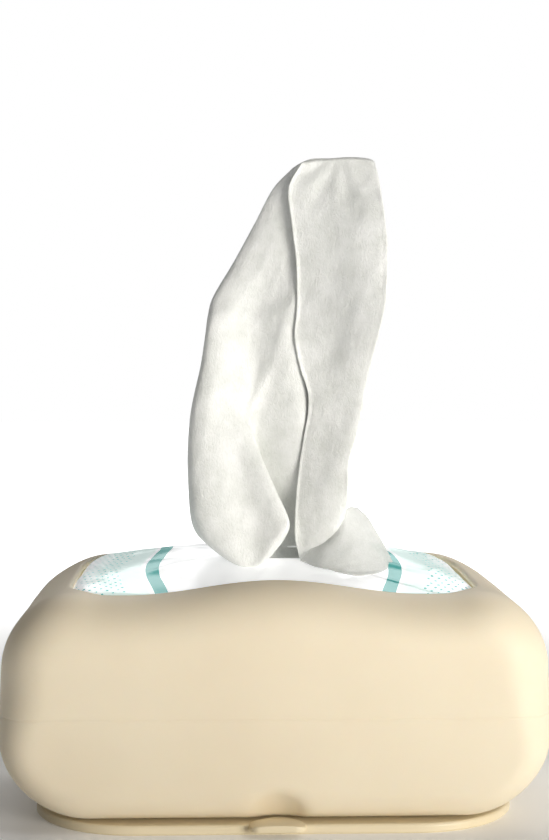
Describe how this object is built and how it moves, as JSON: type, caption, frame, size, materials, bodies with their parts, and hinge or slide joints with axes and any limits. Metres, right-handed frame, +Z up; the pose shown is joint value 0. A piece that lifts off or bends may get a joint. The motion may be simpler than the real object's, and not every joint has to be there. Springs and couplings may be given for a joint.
{
  "type": "wipes dispenser",
  "caption": "Soft rounded silicone box with a wavy top opening, standing on a base plate, holding a film pack of folded wipes with a wipe standing up through its slot.",
  "frame": {"origin": "middle of the base plate's underside, on the surface that the dispenser stands on", "axes": "+Z up, X along the dispenser's length, -Y towards its front, where the pull tab is"},
  "size_m": [0.23, 0.1321, 0.2825],
  "materials": {
    "silicone": "matte, smooth, warm cream",
    "base_plastic": "satin, warm cream",
    "film": "glossy printed film, white, mint and teal",
    "wipe_cloth": "damp non-woven cloth, off-white"
  },
  "bodies": {
    "cover": {"cover_shell": "silicone", "pack_film": "film", "wipe_stack": "wipe_cloth", "next_wipe": "wipe_cloth"},
    "base": {"base_plate": "base_plastic"},
    "wipe": {"pulled_wipe": "wipe_cloth"}
  },
  "joints": [
    {"name": "base_release", "type": "slide", "parent": "cover", "child": "base", "axis": [0, 0, -1], "range_m": [0, 0.06]},
    {"name": "wipe_pull", "type": "slide", "parent": "cover", "child": "wipe", "axis": [0, 0, 1], "range_m": [0, 0.03]}
  ]
}
